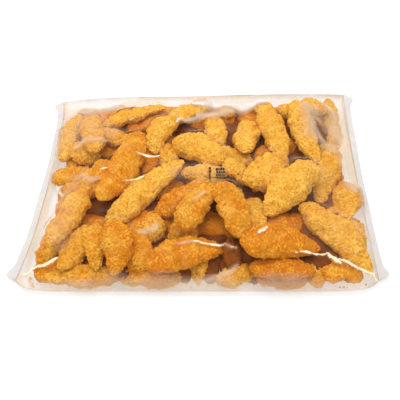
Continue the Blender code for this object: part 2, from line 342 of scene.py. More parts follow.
def bag_plan(u, v):
    """Places in mm over the filled part, with u from left to right and v from front to back."""
    plan = []
    for axis in range(2):
        near = (1 - u) * SEAL_LEFT_FRONT[axis] + u * SEAL_RIGHT_FRONT[axis]
        far = (1 - u) * SEAL_LEFT_BACK[axis] + u * SEAL_RIGHT_BACK[axis]
        plan.append((1 - v) * near + v * far - OUTLINE_MIDDLE[axis])
    x = plan[0] + bulge(v) * (u * RIGHT_BOW - (1 - u) * LEFT_BOW)
    front_bow = FRONT_BOW * (1 - (2 * u - 1) ** FRONT_BOW_POWER)
    y = plan[1] + bulge(u) * v * BACK_BOW - (1 - v) * front_bow
    return x, y


def floor_tenders():
    """The hidden bottom layer, in rows with every second one turned."""
    rng = np.random.default_rng(FLOOR_SEED)
    rows = []
    for j in range(FLOOR_ROWS):
        for i in range(FLOOR_COLUMNS):
            x = FLOOR_MIDDLE[0] + FLOOR_REACH[0] * (i / (FLOOR_COLUMNS - 1) - 0.5)
            y = FLOOR_MIDDLE[1] + FLOOR_REACH[1] * (j / (FLOOR_ROWS - 1) - 0.5)
            x, y = (middle + rng.uniform(-far, far) for middle, far in zip((x, y), FLOOR_STRAY))
            swing = rng.uniform(-FLOOR_SWING, FLOOR_SWING)
            heading = math.radians(swing + FLOOR_TURN * ((i + j) % 2))
            half = FLOOR_LENGTH / 2 * rng.uniform(FLOOR_SHORTEST, 1)
            dx, dy = half * math.cos(heading), half * math.sin(heading)
            rows.append((x - dx, y - dy, x + dx, y + dy, FLOOR_WIDTH, *FLOOR_SHAPE))
    return rows


def fullness(along):
    """Share of its full width and thickness that a tender has, from -1 to 1 along it."""
    return np.maximum(0, 1 - np.abs(along) ** ROUND_END) ** (1 / 2)


def settle(tenders):
    """Lets the tenders down one by one onto the heap, and gives each one's resting place."""
    reach_x, reach_y = GRID_HALF
    x, y = np.meshgrid(
        np.arange(-reach_x, reach_x + 1, CELL, dtype=float),
        np.arange(-reach_y, reach_y + 1, CELL, dtype=float),
    )
    heap = np.zeros_like(x)
    rests = []
    for x0, y0, x1, y1, width, bend, taper, browning_and_shade in tenders:
        middle = ((x0 + x1) / 2, (y0 + y1) / 2)
        length = math.hypot(x1 - x0, y1 - y0)
        heading = math.atan2(y1 - y0, x1 - x0)
        cos, sin = math.cos(heading), math.sin(heading)
        u = (x - middle[0]) * cos + (y - middle[1]) * sin
        along = u / (length / 2)
        v = (y - middle[1]) * cos - (x - middle[0]) * sin - bend * (1 - along**2)
        half_width = np.maximum(width / 2 * fullness(along), 1e-6)
        under = (np.abs(along) < 1) & (np.abs(v) < half_width)
        u, v, along, half_width = u[under], v[under], along[under], half_width[under]
        across = 1 - (np.abs(v) / half_width) ** FULL_SIDE
        half_thick = width * THICK_SHARE / 2 * fullness(along) * across**0.5
        needed = np.maximum(heap[under] - NESTING, UNDER_GAP) + half_thick
        firm = np.abs(v) < FIRM_WIDTH * half_width
        best = None
        for pitch in PITCHES:
            for roll in ROLLS:
                slopes = math.tan(math.radians(pitch)), math.tan(math.radians(roll))
                lift = np.max((needed - slopes[0] * u - slopes[1] * v)[firm])
                cost = lift + SLOPE_COST * (abs(pitch) + abs(roll))
                if best is None or cost < best[0]:
                    best = (cost, lift, slopes)
        lift, slopes = best[1:]
        heap[under] = np.maximum(heap[under], lift + slopes[0] * u + slopes[1] * v + half_thick)
        rests.append(
            {
                "middle": (middle[0] - OUTLINE_MIDDLE[0], middle[1] - OUTLINE_MIDDLE[1], lift),
                "along_axis": (cos * length / 2, sin * length / 2, slopes[0] * length / 2),
                "side_axis": (-sin, cos, slopes[1]),
                "half_width": width / 2,
                "bend": bend,
                "taper": taper,
                "browning_and_shade": browning_and_shade,
            }
        )
    return rests


def named(tree, name, kind="FLOAT"):
    """An attribute of the mesh that the tree works on."""
    return add_node(tree, "GeometryNodeInputNamedAttribute", {"data_type": kind}, {"Name": name})


def store(tree, shape, name, value, kind="FLOAT"):
    """The shape with a field kept on its points as a named attribute."""
    values = {"Geometry": shape, "Name": name, "Value": value}
    return add_node(tree, "GeometryNodeStoreNamedAttribute", {"data_type": kind}, values)


def start_tree(name, inputs):
    """A Geometry Nodes tree with named inputs. Gives the tree and its inputs as fields."""
    tree = bpy.data.node_groups.new(name, "GeometryNodeTree")
    for label, kind in {"Points": "Geometry", **inputs}.items():
        tree.interface.new_socket(label, in_out="INPUT", socket_type="NodeSocket" + kind)
    tree.interface.new_socket("Mesh", in_out="OUTPUT", socket_type="NodeSocketGeometry")
    source = tree.nodes.new("NodeGroupInput")
    return tree, {socket.name: Field(socket) for socket in source.outputs if socket.name}


def end_tree(tree, shape, material):
    """Realizes what is left as instances, gives it its material and ends the tree."""
    shape = add_node(tree, "GeometryNodeRealizeInstances", {}, {"Geometry": shape})
    shape = add_node(
        tree, "GeometryNodeSetMaterial", {}, {"Geometry": shape, "Material": material}
    )
    end = tree.nodes.new("NodeGroupOutput")
    tree.links.new(shape.socket, end.inputs["Mesh"])


def point_cloud(name, columns):
    """Loose points with attributes, from a dictionary of one list for each attribute."""
    mesh = bpy.data.meshes.new(name)
    places = np.array(columns["middle"])
    mesh.from_pydata(places.tolist(), [], [])
    for label, values in columns.items():
        values = np.array(values, dtype=float)
        kind, slot_name = ("FLOAT_VECTOR", "vector") if values.ndim == 2 else ("FLOAT", "value")
        layer = mesh.attributes.new(label, kind, "POINT")
        layer.data.foreach_set(slot_name, values.ravel())
    return add_object(name, mesh)


def run_tree(name, points, tree, values):
    """A plain mesh object from the tree run over the points, with no modifier left on it."""
    modifier = points.modifiers.new("build", "NODES")
    modifier.node_group = tree
    for item in tree.interface.items_tree:
        if item.in_out == "INPUT" and item.name in values:
            modifier[item.identifier] = values[item.name]
    graph = bpy.context.evaluated_depsgraph_get()
    mesh = bpy.data.meshes.new_from_object(
        points.evaluated_get(graph), preserve_all_data_layers=True, depsgraph=graph
    )
    bpy.data.objects.remove(points)
    return add_object(name, mesh)


def crumb_field(tree, place, size):
    """Rounded bumps about this far apart, each of its own height, from 0 to 1."""
    settings = {"feature": "F1"}
    values = {"Vector": place, "Scale": 1 / size, "Randomness": 1.0}
    distance = add_node(tree, "ShaderNodeTexVoronoi", settings, values, "Distance")
    colour = add_node(tree, "ShaderNodeTexVoronoi", settings, values, "Color")
    random = add_node(tree, "ShaderNodeSeparateXYZ", {}, (colour,))
    return (1 - (distance / 0.8) ** 2).at_least(0) * (0.35 + 0.65 * random)


def tender_tree():
    """A breaded tender on each point, shaped by the point's attributes."""
    inputs = {"Rings": "Int", "Sides": "Int", "Grains": "Float", "Material": "Material"}
    tree, given = start_tree("breaded_tenders", inputs)
    place = add_node(tree, "GeometryNodeInputPosition")
    normal = add_node(tree, "GeometryNodeInputNormal")

    ball = add_node(
        tree,
        "GeometryNodeMeshUVSphere",
        {},
        {"Segments": given["Sides"], "Rings": given["Rings"], "Radius": 1.0},
    )
    ball = store(tree, ball, "unit", place, "FLOAT_VECTOR")
    rolls = add_node(
        tree, "GeometryNodeInstanceOnPoints", {}, {"Points": given["Points"], "Instance": ball}
    )
    rolls = add_node(tree, "GeometryNodeRealizeInstances", {}, {"Geometry": rolls})

    unit = named(tree, "unit", "FLOAT_VECTOR")
    across = add_node(tree, "ShaderNodeSeparateXYZ", {}, (unit,), 0)
    upward = add_node(tree, "ShaderNodeSeparateXYZ", {}, (unit,), 1)
    along = add_node(tree, "ShaderNodeSeparateXYZ", {}, (unit,), 2)
    radius = (across**2 + upward**2) ** 0.5
    full = (1 - abs(along) ** ROUND_END).at_least(0) ** 0.5
    full = full * (1 - (named(tree, "taper") * along).at_least(0))

    def squared(side):
        """A side of the round section pushed out towards a rounded box."""
        share = side / radius.at_least(1e-6)
        return share.work_out("SIGN", share) * abs(share) ** (2 / FULL_SIDE)

    half_width = named(tree, "half_width") * full
    sideways = half_width * squared(across) + named(tree, "bend") * (1 - along**2)
    rise = half_width * THICK_SHARE * squared(upward)
    spot = (
        named(tree, "middle", "FLOAT_VECTOR")
        + named(tree, "along_axis", "FLOAT_VECTOR") * along
        + named(tree, "side_axis", "FLOAT_VECTOR") * sideways
        + add_node(tree, "ShaderNodeCombineXYZ", {}, {"Z": rise})
    )
    rolls = add_node(tree, "GeometryNodeSetPosition", {}, {"Geometry": rolls, "Position": spot})

    own_place = place + named(tree, "seed") * PATTERN_SHIFT
    lumps = (noise(tree, own_place, LUMP_SIZE) - 0.5) * (2 * LUMP_HEIGHT)
    lumps = lumps * (named(tree, "half_width") / FULL_LUMPS).at_most(1)
    knobs = (noise(tree, own_place, KNOB_SIZE) - 0.5) * (2 * KNOB_HEIGHT)
    offset = normal * ((lumps + knobs) * full.at_most(1))
    rolls = add_node(tree, "GeometryNodeSetPosition", {}, {"Geometry": rolls, "Offset": offset})

    crumb = crumb_field(tree, own_place, CRUMB_SIZE)
    rolls = store(tree, rolls, "crumb", crumb)
    offset = normal * ((named(tree, "crumb") - CRUMB_SUNK) * CRUMB_HEIGHT)
    rolls = add_node(tree, "GeometryNodeSetPosition", {}, {"Geometry": rolls, "Offset": offset})
    above = add_node(tree, "ShaderNodeVectorMath", {"operation": "MAXIMUM"}, (place, LOWEST))
    rolls = add_node(tree, "GeometryNodeSetPosition", {}, {"Geometry": rolls, "Position": above})
    rolls = add_node(tree, "GeometryNodeSetShadeSmooth", {}, {"Geometry": rolls})

    spots = add_node(
        tree,
        "GeometryNodeDistributePointsOnFaces",
        {},
        {"Mesh": rolls, "Density": given["Grains"], "Seed": GRAIN_SEEDS[0]},
    )
    grain = add_node(tree, "GeometryNodeMeshIcoSphere", {}, {"Radius": 1.0, "Subdivisions": 1})
    turn = add_node(
        tree,
        "FunctionNodeRandomValue",
        {"data_type": "FLOAT_VECTOR"},
        {0: 0, 1: FULL_TURN, 8: GRAIN_SEEDS[1]},
    )
    size = add_node(
        tree,
        "FunctionNodeRandomValue",
        {"data_type": "FLOAT_VECTOR"},
        {0: GRAIN_SIZE[0] * MM, 1: GRAIN_SIZE[1] * MM, 8: GRAIN_SEEDS[2]},
    )
    grains = add_node(
        tree,
        "GeometryNodeInstanceOnPoints",
        {},
        {"Points": spots, "Instance": grain, "Rotation": turn, "Scale": size},
    )
    grains = add_node(tree, "GeometryNodeRealizeInstances", {}, {"Geometry": grains})
    # The loose grains get a high crumb value, which the crumb material paints paler as highlight
    # and keeps out of its pit shade.
    grains = store(tree, grains, "crumb", named(tree, "crumb") * 0.5 + 0.6)
    both = add_node(tree, "GeometryNodeJoinGeometry", {}, {0: [rolls, grains]})
    end_tree(tree, both, given["Material"])
    return tree


def breading_material():
    """Fried crumb: gold, browner in worn patches, paler in random flakes and, as painted
    highlight, on its high grains, and darker in its pits and on tenders in others' shade as
    painted shade.
    """
    material, tree = new_material("fried_crumb")
    place = add_node(tree, "ShaderNodeTexCoord", output="Object")
    browning_and_shade = add_node(tree, "ShaderNodeAttribute", {"attribute_name": "browning_and_shade"}, output="Fac")
    crumb = add_node(tree, "ShaderNodeAttribute", {"attribute_name": "crumb"}, output="Fac")
    patch = noise(tree, place, PATCH_SIZE, 3.0)
    speckle = noise(tree, place, SPECKLE_SIZE)
    fine = crumb_field(tree, place, FINE_SIZE)

    browning = (browning_and_shade + (patch - 0.5) * 2.2 + (speckle - 0.5) * 1.4).ease(0.1, 1.05)
    colour = browning.choose(GOLD_CRUMB, DEEP_CRUMB)
    crest = noise(tree, place, CREST_SIZE, 1.0)
    # Pale flakes from the speckle and crest noise, and painted highlight on the raised grains
    # through the crumb height.
    paleness_and_highlight = crumb * 0.9 + (speckle - 0.5) * 4.8 + (crest - 0.5) * 1.6 - browning_and_shade * 0.25 - 0.08
    paleness_and_highlight = paleness_and_highlight.ease(0.0, 0.9)
    colour = paleness_and_highlight.choose(colour, browning.choose(PALE_CRUMB, BRIGHT_CRUMB))
    toasted = (noise(tree, place, TOAST_SIZE, 1.0) + speckle * 0.5).ease(0.88, 1.02)
    colour = (toasted * 0.42).choose(colour, TOASTED_CRUMB)
    # Painted shade in the pits: darker where the crumb relief is low, and in dark specks where the
    # speckle is low.
    speck_and_pit_shade = (1 - crumb * 0.5 - speckle).ease(0.35, 0.6) * 0.6
    colour = speck_and_pit_shade.choose(colour, PIT_SHADE_AND_SPECK_CRUMB)
    # Painted shade: tenders whose browning value is above 1.2 are darkened towards SHADED_CRUMB,
    # as if they lay in the others' shade.
    colour = ((browning_and_shade - 1.2).ease(0.0, 0.8) * 0.92).choose(colour, SHADED_CRUMB)

    relief = fine * 0.6 + speckle * 0.4
    bump = add_node(
        tree, "ShaderNodeBump", {}, {"Strength": 0.9, "Distance": 0.0009, "Height": relief}
    )
    shader = add_node(
        tree,
        "ShaderNodeBsdfPrincipled",
        {},
        {
            "Base Color": colour,
            "Roughness": 0.62 + 0.2 * fine,
            "Specular IOR Level": 0.15,
            "Normal": bump,
        },
    )
    end_material(tree, shader)
    return material


def crumb_heights(pieces, ceiling=1000):
    """The highest crumb under a ceiling in each cell of a grid over the bag, in mm."""
    columns, rows = (2 * half // CELL + 1 for half in GRID_HALF)
    heap = np.zeros((rows, columns))
    for piece in pieces:
        places = np.empty(len(piece.data.vertices) * 3)
        piece.data.vertices.foreach_get("co", places)
        x, y, z = (places.reshape(-1, 3) / MM).T
        x, y, z = x[z < ceiling], y[z < ceiling], z[z < ceiling]
        i = np.rint((x + GRID_HALF[0]) / CELL).astype(int)
        j = np.rint((y + GRID_HALF[1]) / CELL).astype(int)
        np.maximum.at(heap, (j, i), z)
    return widened(heap)


def widened(grid):
    """The grid with each cell raised to the highest of its neighbours."""
    grid = grid.copy()
    grid[1:-1] = np.maximum.reduce([grid[:-2], grid[1:-1], grid[2:]])
    grid[:, 1:-1] = np.maximum.reduce([grid[:, :-2], grid[:, 1:-1], grid[:, 2:]])
    return grid


def local_mean(grid):
    """The grid averaged over about 14 mm each way."""
    for axis in (0, 1):
        grid = sum(np.roll(grid, step, axis) for step in range(-3, 4)) / 7
    return grid


def inside_bag(x, y, margins):
    """Whether places in the plan lie inside the bag by these mm from its ends, front and back."""
    steps = np.linspace(0, 1, 101)
    left_x, left_y = bag_plan(0 * steps, steps)
    right_x, right_y = bag_plan(0 * steps + 1, steps)
    front_x, front_y = bag_plan(steps, 0 * steps)
    back_x, back_y = bag_plan(steps, 0 * steps + 1)
    between_ends = (x > np.interp(y, left_y, left_x) + margins[0]) & (
        x < np.interp(y, right_y, right_x) - margins[0]
    )
    between_folds = (y > np.interp(x, front_x, front_y) + margins[1]) & (
        y < np.interp(x, back_x, back_y) - margins[2]
    )
    return between_ends & between_folds


def footprint(x, y, rest):
    """Whether places in the plan are well within a resting tender's outline."""
    aim, half_width = rest["along_axis"], rest["half_width"]
    half = math.hypot(*aim[:2])
    off_x, off_y = x - rest["middle"][0], y - rest["middle"][1]
    along = (off_x * aim[0] + off_y * aim[1]) / half**2
    aside = (off_y * aim[0] - off_x * aim[1]) / (half * half_width)
    return along**2 + aside**2 < CLAIMED


def filler_rests(covered, few):
    """Short tenders laid on the bottom sheet wherever it lies bare, in the headings that fit."""
    rng = np.random.default_rng(FILLER_SEED)
    x, y = np.meshgrid(*(np.arange(-half, half + 1, CELL, dtype=float) for half in GRID_HALF))
    inside = inside_bag(x, y, FILLER_MARGINS)
    shaded = inside_bag(x, y, SHADE_MARGINS)
    found = []
    for _ in range(few):
        bare = local_mean(inside & ~covered)
        spot = np.unravel_index(np.argmax(bare), bare.shape)
        if bare[spot] < BARE_SHARE:
            break
        half, half_width = rng.uniform(*FILLER_LENGTH) / 2, rng.uniform(*FILLER_WIDTH) / 2
        best = None
        for shift in FILLER_SHIFTS:
            middle = ((1 - shift) * x[spot], (1 - shift) * y[spot], half_width * THICK_SHARE)
            for heading in np.radians(FILLER_HEADINGS):
                cos, sin = math.cos(heading), math.sin(heading)
                rest = {
                    "middle": middle,
                    "along_axis": (cos * half, sin * half, 0),
                    "side_axis": (-sin, cos, 0),
                    "half_width": half_width,
                    **FILLER_SHAPE,
                    "browning_and_shade": FILLER_BROWNING_AND_SHADE[int(shaded[spot])],
                }
                under = footprint(x, y, rest)
                crowding = np.mean(covered[under]) + OUTSIDE_COST * np.mean(~inside[under])
                if best is None or crowding < best[0]:
                    best = (crowding, rest, under)
        rest, under = best[1:]
        if np.mean(~inside[under]) < MOST_OUTSIDE:
            found.append(rest)
        covered = covered | under
    return found


def tender_points(name, rests, first_seed):
    """One point for each resting tender, with sizes in metres."""
    lengths = ("middle", "along_axis", "half_width", "bend")
    columns = {
        label: np.array([rest[label] for rest in rests]) * (MM if label in lengths else 1)
        for label in rests[0]
    }
    columns["seed"] = first_seed + np.arange(len(rests))
    return point_cloud(name, columns)


def dress(piece):
    """Every piece belongs to the sealed bag: it stands for the one CAD solid and rides with it."""
    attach(piece, "root")
    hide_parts("tender_bag")


hidden_rows = floor_tenders()
rests = settle(hidden_rows + list(LOW_TENDERS) + list(TOP_TENDERS))
hidden_rests, seen_rests = rests[: len(hidden_rows)], rests[len(hidden_rows):]
seen_rests.sort(key=lambda rest: rest["middle"][0])
tree = tender_tree()
crumb_skin = breading_material()
tender_pieces = []
fine_values = {
    "Rings": FINE_RINGS,
    "Sides": FINE_SIDES,
    "Grains": GRAINS,
    "Material": crumb_skin,
}
for group in range(TENDER_GROUPS):
    few = seen_rests[
        len(seen_rests) * group // TENDER_GROUPS: len(seen_rests) * (group + 1) // TENDER_GROUPS
    ]
    points = tender_points(f"tender_points_{group + 1}", few, 10 * group + 20)
    tender_pieces.append(run_tree(f"tenders_{group + 1}", points, tree, fine_values))
coarse_values = {
    "Rings": COARSE_RINGS,
    "Sides": COARSE_SIDES,
    "Grains": 0.0,
    "Material": crumb_skin,
}
hidden_rests += filler_rests(crumb_heights(tender_pieces, LOW_CEILING) > 0, FILLERS)
points = tender_points("hidden_tender_points", hidden_rests, 1)
tender_pieces.append(run_tree("tenders_underneath", points, tree, coarse_values))
for piece in tender_pieces:
    dress(piece)

# The loose crumbs: bits of the fried crumb that have dropped off and lie on the bottom sheet
# where it is bare, each a small uneven lump.
LOOSE_TRIES, LOOSE_SEED = 24000, 12
LOOSE_SIZE = (0.6, 1.5)  # mm from middle to edge
LOOSE_MARGINS = (15, 6, 12)  # mm that they keep from the bag's ends, front fold and back fold
BARE_HEIGHT = 1  # mm: where the heap is lower than this, the sheet is bare


def read_heap(heap, x, y):
    """The heap's height at each of the points, between grid cells too."""
    column = (x + GRID_HALF[0]) / CELL
    row = (y + GRID_HALF[1]) / CELL
    i, j = column.astype(int), row.astype(int)
    across, up = column - i, row - j
    near = heap[j, i] * (1 - across) + heap[j, i + 1] * across
    far = heap[j + 1, i] * (1 - across) + heap[j + 1, i + 1] * across
    return near * (1 - up) + far * up


def loose_crumbs(heap):
    """Lumps on the bare places of the bottom sheet, from one shape turned and sized at random."""
    tree, given = start_tree("loose_crumbs", {"Material": "Material"})
    lump = add_node(tree, "GeometryNodeMeshIcoSphere", {}, {"Radius": 1.0, "Subdivisions": 2})
    place = add_node(tree, "GeometryNodeInputPosition")
    uneven = place * (0.55 + 0.9 * noise(tree, place, 0.9))
    lump = add_node(tree, "GeometryNodeSetPosition", {}, {"Geometry": lump, "Position": uneven})
    values = {
        "Points": given["Points"],
        "Instance": lump,
        "Rotation": named(tree, "turn", "FLOAT_VECTOR"),
        "Scale": named(tree, "size", "FLOAT_VECTOR"),
    }
    lumps = add_node(tree, "GeometryNodeInstanceOnPoints", {}, values)
    end_tree(tree, lumps, given["Material"])

    rng = np.random.default_rng(LOOSE_SEED)
    x, y = bag_plan(*rng.uniform(0, 1, (2, LOOSE_TRIES)))
    bare = inside_bag(x, y, LOOSE_MARGINS) & (read_heap(heap, x, y) < BARE_HEIGHT)
    few = int(bare.sum())
    sizes = rng.uniform(*LOOSE_SIZE, few) * MM
    middles = np.stack([x[bare] * MM, y[bare] * MM, sizes + MM / 2], axis=-1)
    columns = {
        "middle": middles,
        "turn": rng.uniform(0, FULL_TURN, (few, 3)),
        "size": sizes[:, None] * rng.uniform(0.7, 1.1, (few, 3)),
        "browning_and_shade": rng.uniform(0.2, 0.9, few),
        # A high crumb value: the crumb material paints these paler as highlight and keeps most of
        # its pit shade off them.
        "crumb": np.full(few, 0.7),
    }
    points = point_cloud("crumb_points", columns)
    return run_tree("loose_crumbs", points, tree, {"Material": crumb_skin})


heap = crumb_heights(tender_pieces)
dress(loose_crumbs(heap))

# The clear film: one thin plastic tube laid over and under the tenders. It hangs from their
# tops, wrinkles towards its seals, is milky along its edges and creases, and has painted
# highlights on some folds.
FRONT_FOLD, BACK_FOLD = 9, 22  # mm, heights of the long folds at mid length
FRONT_CORNER, BACK_CORNERS = 4, (17, 29)  # and of the corners: those at the back stand up
SEAL_RISE = 4
FRONT_INSET, BACK_INSET = 3, 9  # from the folds to where the bag meets the table
SEAL_INSET = 9  # and from the seals
FILM_GAP = 0.7  # mm, between the film and the crumb that it rests on
FILM_CELLS = (300, 220)
FILM_SPREAD = 16
FILM_ROUNDS = 900
FILM_PULL = 0.03  # mm that the film is drawn down at each round
EDGE_HAZE, RIM_HAZE = 12, 0.45  # mm in from the rim over which it is milky, and how much
HELD_REACH = 6  # mm in from the rim over which folds and wrinkles die away
WRINKLE_REACH, WRINKLE_HEIGHT = 26, 0.9  # mm, of the small wrinkles that run in from the seals
WRINKLE_PITCHES, WRINKLE_LEAN = (7, 9, 12, 17, 26), 0.25
WRINKLE_HAZE = 0.15
WRINKLE_SEED, RIPPLE_SEED = 3, 8
FOLD_SWAY = 0.14  # how far a fold strays from its line, as a share of its width
SIDE_STEPS = (0.25, 0.5, 0.75, 1.0)  # of the way from the rim to where the bag meets the table
SIDE_CURVE, SIDE_HAZE = 1.6, 0.3  # how soon the side drops, and how milky it starts
CORNER_POWER = 12  # how soon past a corner the side turns under in full
SHEET_LIFT = 0.2  # mm, of the bottom sheet above the table
FILM_CLEAR = (0.98, 0.975, 0.97, 1)
FILM_MILK = (0.73, 0.57, 0.40, 1)  # over the crumb, whose colour it takes on
RIM_MILK = (0.70, 0.665, 0.635, 1)  # and where it is milkiest, near the rim
# The cream colour of the painted highlights along the folds
FILM_PAINTED_GLINT = (0.97, 0.82, 0.56, 1)

# The film's veils and folds, each laid over those before it: both ends in plan, width and rise
# in mm, how milky, and how bright the painted highlight along it is
FOLDS = (
    (-166, 0, -162, -126, 70, 0, 0.14, 0),
    (150, 10, 172, -130, 130, 0, 0.05, 0),
    (-214, 76, -110, 70, 120, 0, 0.18, 0),
    (-240, 140, -84, 148, 80, 0, 0.8, 0),
    (-120, 144, -56, 136, 40, 0, 0.5, 0),
    (-12, 134, 100, 128, 56, 0, 0.85, 0),
    (-44, -11, 36, -11, 44, 0, 0.12, 0),
    (152, 124, 176, 30, 64, 0, 0.45, 0),
    (184, 124, 200, 40, 48, 0, 0.55, 0),
    (160, 92, 178, 58, 22, 0, 0, 0),
    (202, 64, 194, -34, 40, 0, 0.6, 0),
    (208, -20, 204, -130, 26, 0, 0.4, 0),
    (-204, 0, -204, -134, 44, 0, 0.6, 0),
    (-202, 150, -196, -34, 30, 0, 0.55, 0),
    (-218, -104, -190, -172, 28, 0, 0.7, 0),
    (-42, -166, 20, -158, 28, 0.5, 0.6, 0),
    (-104, -168, -16, -164, 22, 0.5, 0.5, 0),
    (20, -168, 150, -168, 22, 0.5, 0.28, 0),
    (130, -168, 214, -152, 24, 0.5, 0.25, 0),
    (-168, 35, -122, 41, 15, 1.0, 0.5, 0.15),
    (-156, -15, -122, -28, 18, 1.0, 0.45, 0.1),
    (-70, -106, -48, -90, 17, 1.0, 0.45, 0.2),
    (-6, 102, 48, 113, 28, 1.0, 0.6, 0),
    (-28, 84, 12, 106, 18, 1.5, 0.6, 0.1),
    (-34, 75, -21, 92, 6, 2.0, 0.5, 0.6),
    (206, -147, 190, -147, 4, 2.0, 0.4, 1.0),
    (195, -148, 175, -139, 4, 2.5, 0.5, 1.0),
    (180, -141, 156, -128, 4, 3.0, 0.6, 1.0),
    (160, -134, 144, -121, 7, 3.0, 0.7, 0.8),
    (149, -122, 106, -128, 3.5, 2.0, 0.4, 0.8),
    (42, -124, 26, -114, 4, 2.0, 0.4, 0.6),
    (30, -116, -8, -115, 4, 2.0, 0.4, 0.9),
    (0, -115, -30, -120, 7, 1.5, 0.4, 0.4),
    (-207, -141, -178, -136, 5, 2.5, 0.5, 0.8),
    (-184, -138, -158, -132, 6, 2.5, 0.6, 0.9),
    (-14, -164, 26, -150, 22, 2.0, 0.5, 0.1),
    (6, -158, 44, -138, 20, 2.0, 0.4, 0.1),
    (-83, 22, -52, 26, 5, 2.0, 0.4, 1.0),
    (-96, -28, -66, -18, 4, 1.5, 0.4, 0.7),
    (-188, -12, -170, -40, 8, 1.5, 0.4, 0.55),
    (-127, -8, -114, -11, 4, 1.0, 0.4, 0.8),
    (64, -111, 77, -100, 9, 1.5, 0.4, 0.6),
    (-9, -69, 8, -56, 5, 1.5, 0.4, 0.4),
)


def rim_height(u, v):
    """Height in mm of the bag's edge, from its corners, its end seals and its long folds."""
    back = BACK_CORNERS[0] + (BACK_CORNERS[1] - BACK_CORNERS[0]) * u
    corner = FRONT_CORNER + (back - FRONT_CORNER) * v**3
    fold = FRONT_FOLD + (np.maximum(BACK_FOLD, back) - FRONT_FOLD) * v
    seal = corner + SEAL_RISE * bulge(v)
    return np.maximum(seal, corner + (fold - corner) * bulge(u))


def smooth(t):
    """A smooth step from 0 to 1."""
    t = np.clip(t, 0, 1)
    return t * t * (3 - 2 * t)


def ripple(x, y, size):
    """Uneven ripples over the plan with this many mm between them, from -1 to 1."""
    rng = np.random.default_rng(RIPPLE_SEED)
    total = 0
    for share in (0.8, 1.1, 1.7, 2.6):
        heading, start = rng.uniform(0, 2 * np.pi, 2)
        way = x * math.cos(heading) + y * math.sin(heading)
        total = total + np.sin(2 * np.pi * way / (share * size) + start) / 4
    return total


def relaxed(grid, floor, fixed, rounds, pull):
    """The grid let down onto a floor as a taut membrane held where fixed is true."""
    held = grid[fixed].copy()
    for _ in range(rounds):
        grid[1:-1, 1:-1] = (
            grid[:-2, 1:-1] + grid[2:, 1:-1] + grid[1:-1, :-2] + grid[1:-1, 2:]
        ) / 4 - pull
        grid = np.maximum(grid, floor)
        grid[fixed] = held
    return grid


def fold_reach(x, y, fold):
    """1 on a fold's crest and 0 past its ragged sides, which close in towards both its ends."""
    x0, y0, x1, y1, width = fold[:5]
    x0, x1 = x0 - OUTLINE_MIDDLE[0], x1 - OUTLINE_MIDDLE[0]
    y0, y1 = y0 - OUTLINE_MIDDLE[1], y1 - OUTLINE_MIDDLE[1]
    length = math.hypot(x1 - x0, y1 - y0)
    along = ((x - x0) * (x1 - x0) + (y - y0) * (y1 - y0)) / length**2
    aside = ((x - x0) * (y1 - y0) - (y - y0) * (x1 - x0)) / length
    aside = np.abs(aside + FOLD_SWAY * width * ripple(x, y, max(width, 8)))
    taper = np.clip(4 * along * (1 - along), 0, 1) ** 0.5
    return np.clip(1 - aside / np.maximum(width / 2 * taper, 1e-6), 0, 1) * (taper > 0)


def wrinkles(y, from_seal):
    """Small wrinkles that run in from a seal and die away, from -1 to 1."""
    rng = np.random.default_rng(WRINKLE_SEED)
    waves = 0
    for pitch in WRINKLE_PITCHES:
        lean = rng.uniform(-WRINKLE_LEAN, WRINKLE_LEAN)
        waves = waves + np.sin(2 * np.pi * (y + lean * from_seal) / pitch + rng.uniform(0, 6)) / 5
    return waves * np.exp(-from_seal / WRINKLE_REACH)


def film_sheet(heap):
    """The film's grid over the bag, in mm, how milky it is at each place, and how bright a painted
    highlight lies there.
    """
    u, v = np.meshgrid(*(np.linspace(0, 1, cells + 1) for cells in FILM_CELLS))
    x, y = bag_plan(u, v)
    floor = read_heap(heap, x, y) + FILM_GAP
    on_rim = (u == 0) | (u == 1) | (v == 0) | (v == 1)
    film = floor.copy()
    for _ in range(FILM_SPREAD):
        film = widened(film)
    film[on_rim] = rim_height(u, v)[on_rim]
    film = relaxed(film, floor, on_rim, FILM_ROUNDS, FILM_PULL)

    width, depth = x[0, -1] - x[0, 0], y[-1, 0] - y[0, 0]
    from_seal = np.minimum(u, 1 - u) * width
    from_edge = np.minimum(from_seal, np.minimum(v, 1 - v) * depth)
    held = smooth(from_edge / HELD_REACH)
    waves = wrinkles(y, from_seal)
    film = film + held * WRINKLE_HEIGHT * waves
    haze = RIM_HAZE * smooth(1 - from_edge / EDGE_HAZE) + WRINKLE_HAZE * np.maximum(waves, 0)
    painted_glint = 0 * haze
    for fold in FOLDS:
        rise, milk, shine = fold[5:]
        reach = fold_reach(x, y, fold)
        film = film + held * rise * reach
        haze = haze + (milk - haze) * smooth(reach)
        # The last column paints a highlight along the fold.
        painted_glint = np.maximum(painted_glint, shine * smooth(1.4 * reach))
    return u, v, x, y, film, haze, painted_glint


def rim_loop(grid):
    """The outer points of a grid, once round it."""
    return np.concatenate([grid[0, :-1], grid[:-1, -1], grid[-1, :0:-1], grid[:0:-1, 0]])


def grid_faces(index):
    """The four corners of each cell of a grid of vertex numbers."""
    corners = (index[:-1, :-1], index[:-1, 1:], index[1:, 1:], index[1:, :-1])
    return np.stack(corners, axis=-1).reshape(-1, 4)


